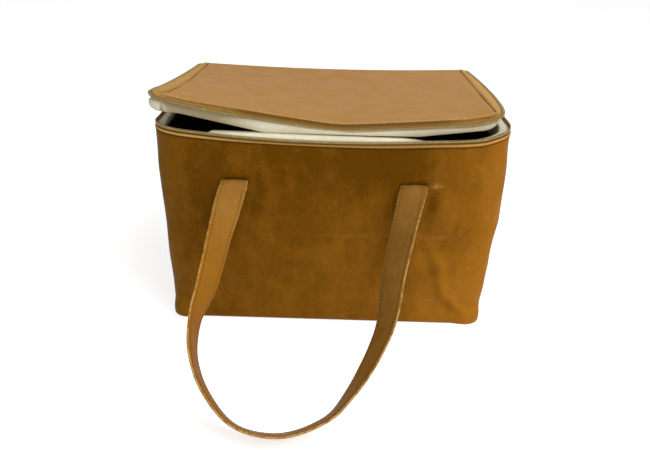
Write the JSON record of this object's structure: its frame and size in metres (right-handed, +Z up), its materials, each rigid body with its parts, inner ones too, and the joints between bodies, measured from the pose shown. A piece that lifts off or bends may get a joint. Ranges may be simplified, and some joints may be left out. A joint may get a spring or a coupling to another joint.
{
  "type": "cooler tote bag",
  "caption": "Soft insulated box bag with a padded zip lid standing ajar and flat strap handles that lie down to the floor.",
  "frame": {"origin": "middle of the underside, on the surface that the bag stands on", "axes": "+Z up; -Y is the front, with the handle that shows; +X is the bag's right seen from the front"},
  "size_m": [0.3345, 0.5579, 0.2369],
  "materials": {
    "kraft_body": "satin",
    "kraft_lid": "satin",
    "kraft_strap": "satin",
    "white_felt": "matte",
    "wadding": "matte",
    "zip_tape": "matte",
    "zip_teeth": "satin",
    "zip_metal": "satin"
  },
  "bodies": {
    "body": {"outer_wall": "kraft_body", "outer_base": "kraft_body", "lid_hinge_band": "kraft_body", "front_strap_tail_left": "kraft_strap", "front_strap_tail_right": "kraft_strap", "back_strap_tail_left": "kraft_strap", "back_strap_tail_right": "kraft_strap", "lining_wall": "white_felt", "lining_base": "white_felt", "foam_base": "wadding", "foam_left": "wadding", "foam_front": "wadding", "foam_right": "wadding", "foam_back": "wadding", "rim_zip_tape": "zip_tape", "rim_zip_teeth": "zip_teeth"},
    "lid": {"lid_panel": "kraft_lid", "lid_foam": "wadding", "lid_lining": "white_felt", "lid_zip_tape": "zip_tape", "lid_zip_teeth": "zip_teeth"},
    "front_handle": {"front_handle": "kraft_strap"},
    "back_handle": {"back_handle": "kraft_strap"},
    "slider": {"zip_slider": "zip_metal"},
    "pull": {"zip_pull": "zip_metal"}
  },
  "joints": [
    {"name": "lid_hinge", "type": "hinge", "parent": "body", "child": "lid", "pos_m": [0, 0.1095, 0.2095], "axis": [1, 0, 0], "range_deg": [-200, 0]},
    {"name": "front_handle_swing", "type": "hinge", "parent": "body", "child": "front_handle", "pos_m": [0, -0.1178, 0.1615], "axis": [1, 0, 0], "range_deg": [-118, 0]},
    {"name": "back_handle_swing", "type": "hinge", "parent": "body", "child": "back_handle", "pos_m": [0, 0.10905, 0.1615], "axis": [1, 0, 0], "range_deg": [0, 118]},
    {"name": "zip_slide", "type": "slide", "parent": "body", "child": "slider", "axis": [0, 1, 0], "range_m": [-0.13, 0]},
    {"name": "zip_pull_swing", "type": "hinge", "parent": "slider", "child": "pull", "pos_m": [-0.16735, 0.066, 0.2089], "axis": [0, 0, 1], "range_deg": [-175, 0]}
  ]
}
